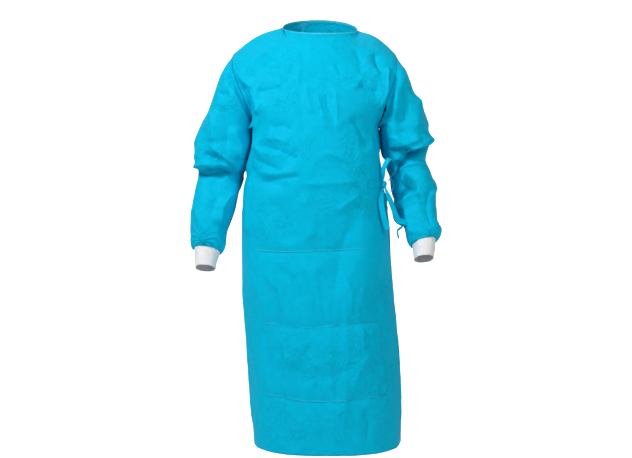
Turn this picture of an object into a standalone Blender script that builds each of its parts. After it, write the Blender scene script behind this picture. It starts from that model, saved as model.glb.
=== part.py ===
"""A wrap-back surgical gown, filled out as if worn, with nothing inside it.

Metres, +Z up. The gown's front faces -Y and the wearer's left is +X. The origin is
midway between the shoulders, at the level of the neck's sides, where the gown hangs.
"""

from collections import namedtuple
from math import cos, pi, radians, sin

import bmesh
import bpy
import numpy as np
from mathutils import Vector

# Cloth and seams
WALL = 0.0015
SEAM_GAP = 0.0004
ARMHOLE_GAP = 0.0006  # the sleeve's share of the gap, wider as the walls fold tight under the arm
LAYER_GAP = 0.0004
LAYER_STEP = WALL + LAYER_GAP

# Grid sizes: columns in a quarter of the body, rows in the yoke and in the rings below it
QUARTER_COLUMNS = 12
YOKE_ROWS = 12
RING_ROWS = 20
SLEEVE_ROWS = 24
SLEEVE_SIDES = 2 * YOKE_ROWS
CURVE_SAMPLES = 61  # points on a smooth line before it is divided evenly
CUT_SNAP = 0.15  # share of a cell within which a cut moves onto the grid's own point
SHARP_ANGLE = 40

# Neck opening, at the panels' edge
NECK_SIDE = 0.035  # y of the neck's two sides, where the shoulder seams start
NECK_HALF = 0.114
NECK_Z = {"left": 0.000, "right": 0.009}
NECK_SHARE = 5 / 12  # of a panel's top edge, from its middle, that is neckline
TOP_REACH = 3.0  # sections over which the shoulder's form fades into the rows below
BINDING_WIDTH = 0.007
SHOULDER_ARCH = 0.016

# How far each back panel passes the centre back, as shares of a quarter of the body, at
# each section from the neck down; the last value holds to the hem
INNER_PAST = (0.11, 0.20, 0.28, 0.36, 0.42, 0.48, 0.52, 0.54)
OUTER_PAST = (0.07, 0.16, 0.30, 0.46, 0.64, 0.82, 0.98, 1.10)
# Where the outer layer starts to lift off the body, as shares of a quarter from the
# centre back, and how far before the inner layer's edge it is fully lifted
LIFT_START = (0.417, 0.60, 0.78, 0.92, 1.00, 1.00)
LIFT_MARGIN = 0.09

BODY_SQUARENESS = 2.5
SLEEVE_SQUARENESS = 2.25

# Yoke: sections from the neck to the armpits. A section's side points are on the
# armhole seam: fore is its front edge and aft its back edge.
Yoke = namedtuple(
    "Yoke", "z_front y_front z_back y_back x_mid x_right x_left z_side y_fore y_aft turn"
)
YOKE = (
    Yoke(-0.022, -0.052, 0.040, 0.114, 0.000, -0.262, 0.228, -0.070, 0.033, 0.033, 50),
    Yoke(-0.060, -0.080, -0.010, 0.127, -0.004, -0.262, 0.230, -0.105, -0.025, 0.084, 55),
    Yoke(-0.115, -0.108, -0.075, 0.138, -0.008, -0.246, 0.218, -0.155, -0.062, 0.108, 60),
    Yoke(-0.175, -0.134, -0.145, 0.143, -0.011, -0.224, 0.200, -0.208, -0.076, 0.111, 65),
    Yoke(-0.238, -0.154, -0.218, 0.144, -0.012, -0.204, 0.184, -0.260, -0.056, 0.090, 74),
    Yoke(-0.300, -0.167, -0.292, 0.142, -0.010, -0.190, 0.170, -0.302, 0.010, 0.010, 90),
)

# Rings: sections all round the body from under the arms to the hem
Ring = namedtuple("Ring", "z y_front y_back x_right x_left")
RING_SIDE_Y = 0.010
RINGS = (
    Ring(-0.345, -0.172, 0.140, -0.192, 0.171),
    Ring(-0.400, -0.175, 0.137, -0.207, 0.177),
    Ring(-0.468, -0.176, 0.134, -0.226, 0.186),
    Ring(-0.540, -0.175, 0.133, -0.231, 0.199),
    Ring(-0.630, -0.173, 0.134, -0.235, 0.209),
    Ring(-0.756, -0.170, 0.138, -0.231, 0.211),
    Ring(-0.864, -0.167, 0.141, -0.222, 0.222),
    Ring(-0.990, -0.166, 0.144, -0.213, 0.233),
    Ring(-1.116, -0.165, 0.146, -0.204, 0.241),
    Ring(-1.230, -0.163, 0.147, -0.198, 0.239),
)

# Sleeves: sections from the upper arm to the wrist, each from its outer to its inner
# side as seen from the front. Tilt lifts a section's front, in degrees.
Arm = namedtuple("Arm", "x_out z_out x_in z_in y_mid half_depth tilt")
RIGHT_ARM = (
    Arm(-0.294, -0.126, -0.209, -0.286, 0.008, 0.094, 0),
    Arm(-0.318, -0.198, -0.213, -0.314, 0.002, 0.093, 0),
    Arm(-0.342, -0.270, -0.214, -0.360, 0.000, 0.090, 0),
    Arm(-0.363, -0.333, -0.223, -0.405, 0.006, 0.086, 4),
    Arm(-0.379, -0.381, -0.235, -0.442, 0.012, 0.084, 8),
    Arm(-0.362, -0.430, -0.243, -0.468, 0.010, 0.074, 14),
    Arm(-0.378, -0.492, -0.247, -0.496, -0.004, 0.072, 20),
    Arm(-0.384, -0.546, -0.254, -0.542, -0.024, 0.066, 24),
    Arm(-0.382, -0.594, -0.279, -0.603, -0.042, 0.057, 26),
    Arm(-0.380, -0.626, -0.278, -0.636, -0.053, 0.053, 26),
    Arm(-0.375, -0.646, -0.287, -0.657, -0.061, 0.044, 26),
    Arm(-0.3675, -0.650, -0.2955, -0.661, -0.064, 0.036, 26),
)
LEFT_ARM = (
    Arm(0.261, -0.126, 0.184, -0.286, 0.014, 0.094, 0),
    Arm(0.285, -0.198, 0.187, -0.308, 0.014, 0.090, 0),
    Arm(0.312, -0.270, 0.190, -0.336, 0.018, 0.087, 0),
    Arm(0.331, -0.324, 0.192, -0.366, 0.026, 0.085, 4),
    Arm(0.325, -0.360, 0.199, -0.408, 0.030, 0.080, 8),
    Arm(0.317, -0.396, 0.213, -0.444, 0.024, 0.071, 14),
    Arm(0.333, -0.430, 0.211, -0.478, 0.016, 0.075, 18),
    Arm(0.339, -0.486, 0.218, -0.519, -0.004, 0.072, 24),
    Arm(0.346, -0.540, 0.234, -0.555, -0.030, 0.065, 28),
    Arm(0.345, -0.572, 0.252, -0.590, -0.048, 0.056, 28),
    Arm(0.358, -0.600, 0.2545, -0.620, -0.060, 0.052, 28),
    Arm(0.346, -0.620, 0.265, -0.637, -0.070, 0.043, 28),
    Arm(0.3365, -0.623, 0.272, -0.638, -0.074, 0.035, 28),
)

# Cuffs: the far end of each knit tube, whose near end meets its sleeve
RIGHT_WRIST = Arm(-0.3635, -0.704, -0.3060, -0.707, -0.084, 0.029, 26)
LEFT_WRIST = Arm(0.3300, -0.675, 0.2730, -0.679, -0.096, 0.029, 28)
CUFF_ROWS = 4

# Folds of the body that show from a step away, in the front or back view's plane.
# A height above zero is a ridge, and one below is a hollow.
Fold = namedtuple("Fold", "half x_start z_start x_end z_end width height")
FOLDS = (
    Fold("front", -0.120, -0.470, -0.030, -0.420, 0.030, 0.006),
    Fold("front", 0.146, -0.335, 0.150, -0.480, 0.030, 0.012),
    Fold("front", 0.020, -0.620, 0.140, -0.500, 0.040, -0.006),
    Fold("front", -0.070, -0.700, -0.020, -0.900, 0.050, 0.007),
    Fold("front", 0.110, -0.700, 0.130, -1.150, 0.050, 0.008),
    Fold("front", -0.150, -0.800, -0.140, -1.180, 0.045, -0.006),
    Fold("back", -0.060, -0.500, -0.080, -1.180, 0.050, 0.008),
    Fold("back", 0.060, -0.560, 0.070, -1.180, 0.045, -0.008),
    Fold("back", 0.150, -0.480, 0.140, -1.150, 0.045, 0.007),
    Fold("back", -0.160, -0.520, -0.150, -1.150, 0.045, -0.006),
    Fold("back", -0.110, -0.250, 0.090, -0.270, 0.045, -0.006),
)

SEAM_REACH = 0.25  # share of a panel's half width over which folds fade at its seam
FOLD_FADE = 0.25  # share of a fold's length over which it fades, each way from its end

# How many of the front's columns the outer back's lapping edge may cover
OUTER_ON_FRONT = 3

# Hook-and-loop tab beside the inner back's edge, as parts of the panel's grid
TAB_GAP_COLUMNS = 0.02
TAB_COLUMNS = 0.5
TAB_ROWS = (0.05, 0.9)

# Ties: flat strips. The columns count along the front panel from its right side seam.
TIE_WIDTH = 0.016
TIE_THICK = 0.0012
TIE_LIFT = 0.0010
PINCHED = 0.4  # share of a tie's width where it enters the knot
PINCH_REACH = 0.8  # how far along its route a tie is narrowed, in points of the route
STRIP_STEPS = 5  # rings between two points of a route
SMALL_LOOP_WIDTH = 0.012
THIN_TAIL_WIDTH = 0.010
PATCH_HEIGHT = 0.022
PATCH_COLUMNS = (18.05, 18.85)
FRONT_TIE_COLUMNS = (18.87, 20.2)
WRAP_TIE_COLUMNS = (20.3, 23.4)
WRAP_CLIMB_COLUMNS = (21.0, 22.0)  # where the wrap tie climbs onto the outer flap
KNOT_COLUMN = 20.25
KNOT_Z = -0.462
KNOT_SIZE = (0.009, 0.007, 0.011)
KNOT_SEGMENTS = 12
KNOT_CLEARANCE = 0.0022
KNOT_LIFT = WALL + TIE_LIFT + TIE_THICK + KNOT_SIZE[1] + KNOT_CLEARANCE

# Routes of the bow and the tails, from the knot's middle
LARGE_LOOP = (
    (-0.003, -0.003, 0.0116),
    (-0.003, -0.018, 0.038),
    (0.004, -0.023, 0.062),
    (0.016, -0.017, 0.074),
    (0.030, 0.008, 0.066),
    (0.038, 0.014, 0.048),
    (0.026, 0.000, 0.028),
    (0.0070, -0.002, 0.0092),
)
LARGE_LOOP_CENTRE = (0.014, 0.000, 0.045)
SMALL_LOOP = (
    (0.0092, -0.003, 0.0035),
    (0.017, -0.006, 0.014),
    (0.026, -0.005, 0.010),
    (0.027, 0.000, -0.010),
    (0.018, 0.001, -0.020),
    (0.0088, 0.000, -0.0060),
)
SMALL_LOOP_CENTRE = (0.018, -0.002, -0.002)
LONG_TAIL = (
    (0.0031, -0.0031, -0.0095),
    (0.019, -0.009, -0.050),
    (0.033, -0.005, -0.086),
    (0.044, -0.001, -0.106),
    (0.068, 0.007, -0.111),
)
BROAD_TAIL = (
    (-0.005, -0.003, -0.0102),
    (-0.010, -0.018, -0.043),
    (-0.004, -0.024, -0.086),
    (0.010, -0.022, -0.130),
)
THIN_TAIL = (
    (0.0034, 0.0037, -0.0091),
    (0.023, 0.018, -0.062),
    (0.034, 0.020, -0.106),
    (0.056, 0.024, -0.122),
    (0.041, 0.026, -0.138),
    (0.045, 0.026, -0.160),
)

BLUE = (0.0, 0.48, 0.72, 1.0)
BLUE_PALE = (0.05, 0.56, 0.76, 1.0)
KNIT_WHITE = (0.80, 0.80, 0.82, 1.0)
TAB_WHITE = (0.35, 0.62, 0.72, 1.0)
CLOTH_ROUGHNESS = 0.55
KNIT_ROUGHNESS = 0.9


# Smooth tables

def smooth_slopes(values):
    """Slopes at the rows of a table that never overshoot its values."""
    steps = np.diff(values, axis=0)
    before, after = steps[:-1], steps[1:]
    same_way = before * after > 0
    total = np.where(same_way, before + after, 1.0)
    inner = np.where(same_way, 2 * before * after / total, 0.0)
    return np.concatenate([steps[:1], inner, steps[-1:]])


def smooth_rows(table, at):
    """The table's values at fractional row numbers, on a curve through its rows."""
    values = np.asarray(table, float)
    at = np.asarray(at, float)
    slopes = smooth_slopes(values)
    low = np.clip(np.floor(at).astype(int), 0, len(values) - 2)
    part = (at - low).reshape((-1,) + (1,) * (values.ndim - 1))
    start, end = values[low], values[low + 1]
    bend_start, bend_end = slopes[low], slopes[low + 1]
    square, cube = part**2, part**3
    return (
        start * (2 * cube - 3 * square + 1)
        + bend_start * (cube - 2 * square + part)
        + end * (3 * square - 2 * cube)
        + bend_end * (cube - square)
    )


def smoothstep(value):
    value = np.clip(value, 0.0, 1.0)
    return value * value * (3 - 2 * value)


# The body's surface

def all_sections():
    """Yoke and ring sections together, in the yoke's columns."""
    rows = list(YOKE)
    for ring in RINGS:
        middle = (ring.x_right + ring.x_left) / 2
        rows.append(
            Yoke(
                ring.z, ring.y_front, ring.z, ring.y_back, middle, ring.x_right, ring.x_left,
                ring.z, RING_SIDE_Y, RING_SIDE_Y, 90,
            )
        )
    return rows


SECTIONS = all_sections()
ARMPIT = len(YOKE) - 1
HEM = len(SECTIONS) - 1
STATIONS = np.concatenate(
    [
        np.linspace(0, ARMPIT, YOKE_ROWS + 1),
        np.linspace(ARMPIT, HEM, RING_ROWS + 1)[1:],
    ]
)
SHARES = np.arange(QUARTER_COLUMNS + 1) / QUARTER_COLUMNS
HALF_SHARES = np.arange(2 * QUARTER_COLUMNS + 1) / QUARTER_COLUMNS
NECK_COLUMNS = round(NECK_SHARE * QUARTER_COLUMNS)


def along(points, shares):
    """Points at these shares of a line's length."""
    lengths = np.linalg.norm(np.diff(points, axis=0), axis=1)
    travelled = np.concatenate([[0.0], np.cumsum(lengths)])
    wanted = np.asarray(shares) * travelled[-1]
    return np.stack([np.interp(wanted, travelled, points[:, k]) for k in range(3)], axis=1)


def quarter_row(section, half, side, shares):
    """One row of a quarter of the body, from its middle line to its side seam."""
    if half == "front":
        y_mid, z_mid, y_side = section.y_front, section.z_front, section.y_fore
    else:
        y_mid, z_mid, y_side = section.y_back, section.z_back, section.y_aft
    x_side = section.x_left if side == "left" else section.x_right
    power = 2 / BODY_SQUARENESS
    turn = radians(section.turn)
    angle = np.linspace(0, 1, CURVE_SAMPLES) * turn
    across = np.sin(angle) ** power / sin(turn) ** power
    level = np.maximum(np.cos(angle), 0) ** power
    deep = (1 - level) / (1 - level[-1])
    line = np.stack(
        [
            section.x_mid + (x_side - section.x_mid) * across,
            y_mid + (y_side - y_mid) * deep,
            z_mid + (section.z_side - z_mid) * across**2,
        ],
        axis=1,
    )
    return along(line, shares)


def neck_point(side):
    sign = 1 if side == "left" else -1
    return np.array([sign * NECK_HALF, NECK_SIDE, NECK_Z[side]])


def shoulder_line(side):
    """The shoulder seam, from the neck to the top of the armhole, slightly arched."""
    start = neck_point(side)
    top = SECTIONS[0]
    end = np.array([top.x_left if side == "left" else top.x_right, top.y_fore, top.z_side])
    part = np.linspace(0, 1, CURVE_SAMPLES)[:, None]
    lift = SHOULDER_ARCH * np.sin(part * pi) * np.array([0.0, 0.0, 1.0])
    return start + (end - start) * part + lift


def neck_line(half, side):
    """A quarter of the neckline, from its middle to the shoulder seam."""
    top = SECTIONS[0]
    end = neck_point(side)
    y_mid, z_mid = (top.y_front, top.z_front) if half == "front" else (top.y_back, top.z_back)
    angle = np.linspace(0, pi / 2, CURVE_SAMPLES)
    return np.stack(
        [
            end[0] * np.sin(angle),
            end[1] + (y_mid - end[1]) * np.cos(angle),
            z_mid + (end[2] - z_mid) * (1 - np.cos(angle)),
        ],
        axis=1,
    )


def top_row(half, side, shares):
    """The top edge of a quarter: neckline, then shoulder seam."""
    neck = along(neck_line(half, side), np.clip(shares / NECK_SHARE, 0, 1))
    rest = (shares - NECK_SHARE) / (1 - NECK_SHARE)
    shoulder = along(shoulder_line(side), np.clip(rest, 0, 1))
    return np.where((shares <= NECK_SHARE)[:, None], neck, shoulder)


def quarter_points(half, side):
    """The grid of a quarter of the body, from its middle to its side. The top edge's
    form fades into the rows below it, and the neck's corner softens on the way."""
    flat_top = quarter_row(SECTIONS[0], half, side, SHARES)
    lift = top_row(half, side, SHARES) - flat_top
    rows = []
    for station, values in zip(STATIONS, smooth_rows(SECTIONS, STATIONS)):
        fade = max(0.0, 1 - station / TOP_REACH) ** 2
        rows.append(quarter_row(Yoke(*values), half, side, SHARES) + lift * fade)
        softer = (lift[:-2] + 2 * lift[1:-1] + lift[2:]) / 4
        lift = np.concatenate([lift[:1], softer, lift[-1:]])
    return np.stack(rows)


def half_grid(half):
    """The front from the right side seam to the left, or the back from left to right."""
    first, last = ("right", "left") if half == "front" else ("left", "right")
    before = quarter_points(half, first)[:, ::-1]
    after = quarter_points(half, last)[:, 1:]
    return np.concatenate([before, after], axis=1)


def unit(vectors):
    return vectors / np.linalg.norm(vectors, axis=-1, keepdims=True)


def surface_normals(points, closed=False):
    """Normals of a grid, outward where its columns run anticlockwise seen from above."""
    if closed:
        across = np.roll(points, -1, axis=1) - np.roll(points, 1, axis=1)
    else:
        across = np.gradient(points, axis=1)
    return unit(np.cross(np.gradient(points, axis=0), across))


def add_folds(points, normals, half):
    """Raises the body's main folds, and sinks its hollows, along its normals. They fade
    out towards the seams, which stay where they are."""
    x, z = points[..., 0], points[..., 2]
    from_middle = abs(np.linspace(-1, 1, points.shape[1]))
    at_seams = smoothstep((1 - from_middle) / SEAM_REACH)[None, :]
    at_seams = at_seams * smoothstep(STATIONS / 2)[:, None]
    lift = np.zeros(x.shape)
    for fold in FOLDS:
        if fold.half != half:
            continue
        run, rise = fold.x_end - fold.x_start, fold.z_end - fold.z_start
        length = np.hypot(run, rise)
        part = ((x - fold.x_start) * run + (z - fold.z_start) * rise) / length**2
        off = ((x - fold.x_start) * rise - (z - fold.z_start) * run) / length
        begun = smoothstep((part + FOLD_FADE) / (2 * FOLD_FADE))
        unfinished = smoothstep((1 + FOLD_FADE - part) / (2 * FOLD_FADE))
        lift += fold.height * begun * unfinished * np.exp(-((off / fold.width) ** 2))
    return points + normals * (lift * at_seams)[..., None]


def share_normals(first, second):
    """Makes two seam edges thicken the same way, so that their walls stay parallel."""
    total = unit(first + second)
    first[...] = total
    second[...] = total


# Layers of the back

def past_centre(table):
    """A back panel's reach past the centre back, at each row of the grid."""
    return smooth_rows(table, np.minimum(STATIONS, len(table) - 1))[:, None]


def outer_layer_lift(shares):
    """How far the outer layer lies off the body, by its shares from the left side seam
    (0) past the centre back (1) to the right side seam (2)."""
    start = 1 + past_centre(LIFT_START)
    full = 1 + past_centre(INNER_PAST) + LIFT_MARGIN
    return LAYER_STEP * smoothstep((start - shares) / (start - full))


# Sleeves and cuffs

def arm_ring(arm):
    """A section of an arm: over the arm first, then its front, under side and back."""
    centre = np.array([(arm.x_out + arm.x_in) / 2, arm.y_mid, (arm.z_out + arm.z_in) / 2])
    over = np.array([arm.x_out - arm.x_in, 0.0, arm.z_out - arm.z_in]) / 2
    tilt = radians(arm.tilt)
    fore = arm.half_depth * np.array([0.0, -cos(tilt), sin(tilt)])
    angle = np.arange(SLEEVE_SIDES) / SLEEVE_SIDES * 2 * pi
    power = 2 / SLEEVE_SQUARENESS
    up = np.sign(np.cos(angle)) * np.abs(np.cos(angle)) ** power
    front = np.sign(np.sin(angle)) * np.abs(np.sin(angle)) ** power
    return centre + np.outer(up, over) + np.outer(front, fore)


def armhole(front_edge, back_edge):
    """The armhole's ring, from its top down its front edge and up its back edge."""
    return np.concatenate([front_edge[: YOKE_ROWS + 1], back_edge[YOKE_ROWS - 1 : 0 : -1]])


def sleeve_grid(ring, arms):
    rings = np.stack([ring] + [arm_ring(arm) for arm in arms])
    return smooth_rows(rings, np.linspace(0, len(rings) - 1, SLEEVE_ROWS + 1))


def cuff_grid(near, wrist):
    part = np.linspace(0, 1, CUFF_ROWS + 1)[:, None, None]
    return near[None] * (1 - part) + arm_ring(wrist)[None] * part


# Meshes

def make_material(name, colour, roughness):
    material = bpy.data.materials.new(name)
    material.use_nodes = True
    shader = material.node_tree.nodes["Principled BSDF"]
    shader.inputs["Base Color"].default_value = colour
    shader.inputs["Roughness"].default_value = roughness
    shader.inputs["Metallic"].default_value = 0.0
    return material


def new_object(name, builder, colour=BLUE, roughness=CLOTH_ROUGHNESS):
    bmesh.ops.recalc_face_normals(builder, faces=builder.faces)
    mesh = bpy.data.meshes.new(name)
    builder.to_mesh(mesh)
    builder.free()
    mesh.shade_smooth()
    mesh.set_sharp_from_angle(angle=radians(SHARP_ANGLE))
    mesh.materials.append(make_material(name, colour, roughness))
    GOWN.objects.link(bpy.data.objects.new(name, mesh))


def pull_in(points, edges, step=SEAM_GAP / 2):
    """Moves a grid's edges in by half a seam's gap, along the cloth."""
    points = points.copy()
    pairs = {
        "top": (points[0], points[1]),
        "bottom": (points[-1], points[-2]),
        "start": (points[:, 0], points[:, 1]),
        "end": (points[:, -1], points[:, -2]),
    }
    for edge in edges:
        rim, inner = pairs[edge]
        rim += unit(inner - rim) * step
    return points


def trim(builder, keep):
    """Cuts a cloth along the line where the keep layer is zero, and drops what is below."""
    for edge in builder.edges:
        first, last = edge.verts
        if first[keep] * last[keep] < 0:
            for one, other in ((first, last), (last, first)):
                if abs(one[keep]) < CUT_SNAP * abs(one[keep] - other[keep]):
                    one[keep] = 0.0
    cut = []
    for edge in list(builder.edges):
        first, last = edge.verts
        if first[keep] * last[keep] < 0:
            share = first[keep] / (first[keep] - last[keep])
            _, middle = bmesh.utils.edge_split(edge, first, share)
            middle[keep] = 0.0
            cut.append(middle)
    cut += [vertex for vertex in builder.verts if vertex[keep] == 0.0 and vertex not in cut]
    bmesh.ops.connect_verts(builder, verts=cut)
    gone = [face for face in builder.faces if min(v[keep] for v in face.verts) < 0]
    bmesh.ops.delete(builder, geom=gone, context="FACES")


def cloth(
    name, points, normals, colour=BLUE, roughness=CLOTH_ROUGHNESS, closed=False, keep=None, wall=WALL
):
    """A wall of cloth on a grid of points, thickened outwards along their normals. Where
    keep is given for each point, the cloth is cut off along the line where it is zero."""
    rows, columns = points.shape[:2]
    wide = columns if closed else columns - 1
    builder = bmesh.new()
    outward = builder.verts.layers.float_vector.new("outward")
    kept = builder.verts.layers.float.new("keep")
    bmesh.ops.create_grid(builder, x_segments=wide, y_segments=rows - 1, size=1.0)
    builder.verts.ensure_lookup_table()
    for index, vertex in enumerate(builder.verts):
        row, column = divmod(index, wide + 1)
        vertex.co = points[row, column % columns]
        vertex[outward] = normals[row, column % columns]
        vertex[kept] = 1.0 if keep is None else keep[row, column]
    if closed:
        seam = {
            builder.verts[row * (wide + 1) + wide]: builder.verts[row * (wide + 1)]
            for row in range(rows)
        }
        bmesh.ops.weld_verts(builder, targetmap=seam)
    bmesh.ops.triangulate(builder, faces=builder.faces, quad_method="FIXED")
    if keep is not None:
        trim(builder, kept)
    made = bmesh.ops.extrude_face_region(
        builder, geom=list(builder.faces), use_keep_orig=True
    )["geom"]
    for vertex in made:
        if isinstance(vertex, bmesh.types.BMVert):
            vertex.co += Vector(vertex[outward]) * wall
    new_object(name, builder, colour, roughness)


def grid_spot(grid, row, column):
    """A grid's value at a fractional row and column."""
    low = min(int(row), len(grid) - 2)
    line = grid[low] * (1 - (row - low)) + grid[low + 1] * (row - low)
    at = np.arange(grid.shape[1])
    return np.array([np.interp(column, at, line[:, k]) for k in range(3)])


def panel_spot(points, normals, column, z):
    """A point below the arms on a half of the body, and the way out of it there."""
    levels = points[YOKE_ROWS:, 0, 2]
    row = np.interp(-z, -levels, np.arange(len(levels))) + YOKE_ROWS
    return grid_spot(points, row, column), grid_spot(normals, row, column)


def patch(name, points, normals, columns, height, lifts=(0.0, 0.0)):
    """A flat piece sewn on the front panel at the knot's level, between two of its
    columns, made from the panel's points, moved out. It may climb onto another layer."""
    levels = points[YOKE_ROWS:, 0, 2]
    top, bottom = KNOT_Z + height / 2, KNOT_Z - height / 2
    heights = [top, *[z for z in levels if bottom < z < top], bottom]
    first, last = columns
    spots = [first, *[c for c in range(points.shape[1]) if first < c < last], last]
    climb = np.interp(spots, WRAP_CLIMB_COLUMNS, lifts)[:, None]
    made, out = [], []
    for z in heights:
        places, ways = zip(*[panel_spot(points, normals, column, z) for column in spots])
        made.append(np.array(places) + np.array(ways) * (WALL + TIE_LIFT + climb))
        out.append(np.array(ways))
    cloth(name, np.array(made), np.array(out), wall=TIE_THICK)


def strip(name, route, knot, facing=None, around=None, width=TIE_WIDTH):
    """A flat strip along a smooth route from the knot. A tail's flat side faces one way,
    and a loop's faces away from the point that it curls around, back to the knot."""
    route = np.asarray(route, float) + knot
    stations = np.linspace(0, len(route) - 1, (len(route) - 1) * STRIP_STEPS + 1)
    centre = smooth_rows(route, stations)
    if around is None:
        out = np.tile(np.asarray(facing, float), (len(centre), 1))
        from_knot = stations
    else:
        out = centre - knot - np.asarray(around)
        from_knot = np.minimum(stations, stations[-1] - stations)
    forward = unit(np.gradient(centre, axis=0))
    out = unit(out - forward * (out * forward).sum(axis=1, keepdims=True))
    sideways = np.cross(forward, out)
    widths = width * (PINCHED + (1 - PINCHED) * smoothstep(from_knot / PINCH_REACH))
    builder = bmesh.new()
    corners = ((-1, -1), (1, -1), (1, 1), (-1, 1))
    rings = []
    for place, side, up, wide in zip(centre, sideways, out, widths):
        rings.append(
            [
                builder.verts.new(place + side * across * wide / 2 + up * over * TIE_THICK / 2)
                for across, over in corners
            ]
        )
    for ring, after in zip(rings, rings[1:]):
        for side in range(4):
            follow = (side + 1) % 4
            builder.faces.new((ring[side], ring[follow], after[follow], after[side]))
    builder.faces.new(rings[0])
    builder.faces.new(rings[-1])
    new_object(name, builder)


def knot(place):
    builder = bmesh.new()
    bmesh.ops.create_uvsphere(
        builder, u_segments=KNOT_SEGMENTS, v_segments=KNOT_SEGMENTS * 2 // 3, radius=1.0
    )
    bmesh.ops.scale(builder, vec=KNOT_SIZE, verts=builder.verts)
    bmesh.ops.translate(builder, vec=place, verts=builder.verts)
    new_object("tie_knot", builder)


# The gown

def body_normals(front, back):
    """Normals of both halves of the body, which agree along the side seams."""
    front_out, back_out = surface_normals(front), surface_normals(back)
    share_normals(front_out[YOKE_ROWS:, -1], back_out[YOKE_ROWS:, 0])
    share_normals(front_out[YOKE_ROWS:, 0], back_out[YOKE_ROWS:, -1])
    return front_out, back_out


def body_halves():
    """Both halves of the body with their folds, and their normals, which agree along
    the side and shoulder seams."""
    front, back = half_grid("front"), half_grid("back")
    front_out, back_out = body_normals(front, back)
    front, back = add_folds(front, front_out, "front"), add_folds(back, back_out, "back")
    front_out, back_out = body_normals(front, back)
    right_shoulder = slice(None, QUARTER_COLUMNS - NECK_COLUMNS + 1)
    left_shoulder = slice(QUARTER_COLUMNS + NECK_COLUMNS, None)
    for shoulder in (right_shoulder, left_shoulder):
        share_normals(front_out[0, shoulder], back_out[0, ::-1][shoulder])
    return front, front_out, back, back_out


def sleeve(side, arms, wrist, front, front_out, back, back_out):
    """A sleeve and its cuff. Its first ring is the armhole, whose edges thicken alike."""
    front_column, back_column = (-1, 0) if side == "left" else (0, -1)
    points = sleeve_grid(armhole(front[:, front_column], back[:, back_column]), arms)
    out = surface_normals(points, closed=True) * (-1 if side == "left" else 1)
    hole_out = armhole(front_out[:, front_column], back_out[:, back_column])
    shared = unit(out[0] + hole_out)
    out[0] = shared
    front_out[: YOKE_ROWS + 1, front_column] = shared[: YOKE_ROWS + 1]
    back_out[YOKE_ROWS:0:-1, back_column] = shared[YOKE_ROWS:]
    back_out[0, back_column] = shared[0]
    cuff = cuff_grid(points[-1], wrist)
    cuff_out = surface_normals(cuff, closed=True) * (-1 if side == "left" else 1)
    share_normals(out[-1], cuff_out[0])
    points = pull_in(pull_in(points, ("top",), ARMHOLE_GAP), ("bottom",))
    cloth(f"sleeve_{side}", points, out, closed=True)
    cuff = pull_in(cuff, ("top",))
    cloth(f"cuff_{side}", cuff, cuff_out, KNIT_WHITE, KNIT_ROUGHNESS, closed=True)


def body_panels(front, front_out, back, back_out):
    """The front, and the two layers of the back. The outer one laps onto the front."""
    cloth("front_panel", pull_in(front, ("top", "start", "end")), front_out)
    inner_keep = 1 + past_centre(INNER_PAST) - HALF_SHARES
    cloth("back_panel_left", pull_in(back, ("top", "start")), back_out, keep=inner_keep)
    wrapped = slice(-1 - OUTER_ON_FRONT, -1)
    on_front = -np.arange(OUTER_ON_FRONT, 0, -1) / QUARTER_COLUMNS
    outer = np.concatenate([front[:, wrapped], back], axis=1)
    outer_out = np.concatenate([front_out[:, wrapped], back_out], axis=1)
    outer_shares = np.concatenate([on_front, HALF_SHARES])[None, :]
    outer = outer + outer_out * outer_layer_lift(outer_shares)[..., None]
    outer_keep = outer_shares - (1 - past_centre(OUTER_PAST))
    cloth("back_panel_right", pull_in(outer, ("top", "end")), outer_out, keep=outer_keep)


def rim(grid, out, column):
    """A spot on a grid's top edge, the way up from the cloth there, and the way out."""
    top = grid_spot(grid, 0, column)
    return top, unit(top - grid_spot(grid, 1, column)), unit(grid_spot(out, 0, column))


def binding(front, front_out, back, back_out):
    """A strip above the neckline, from the inner back's free edge round to the outer's."""
    lift = outer_layer_lift(HALF_SHARES)[0]
    risen = back + back_out * lift[None, :, None]
    inner_end = QUARTER_COLUMNS * (1 + INNER_PAST[0])
    outer_end = QUARTER_COLUMNS * (1 - OUTER_PAST[0])
    neck = range(QUARTER_COLUMNS + NECK_COLUMNS, QUARTER_COLUMNS - NECK_COLUMNS - 1, -1)
    inner_columns = [inner_end, *[column for column in neck if column < inner_end]]
    outer_columns = [*[column for column in neck if column > outer_end], outer_end]
    rims = [rim(back, back_out, column) for column in inner_columns]
    rims += [rim(front, front_out, column) for column in neck[1:-1]]
    rims += [rim(risen, back_out, column) for column in outer_columns]
    base, up, out = (np.array(values) for values in zip(*rims))
    points = np.stack([base + up * (BINDING_WIDTH + SEAM_GAP), base + up * SEAM_GAP])
    cloth("neck_binding", points, np.stack([out, out]), BLUE_PALE)


def tab(back, back_out):
    """The hook-and-loop tab, on the inner back's free edge at the neck."""
    edge = QUARTER_COLUMNS * (1 + past_centre(INNER_PAST)[:2, 0])
    rows, ways = [], []
    for part in TAB_ROWS:
        start = edge[0] * (1 - part) + edge[1] * part + TAB_GAP_COLUMNS
        spots = (start, start + TAB_COLUMNS)
        rows.append([grid_spot(back, part, spot) for spot in spots])
        ways.append([grid_spot(back_out, part, spot) for spot in spots])
    cloth("neck_tab", np.array(rows), np.array(ways), TAB_WHITE, wall=TIE_THICK)


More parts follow.
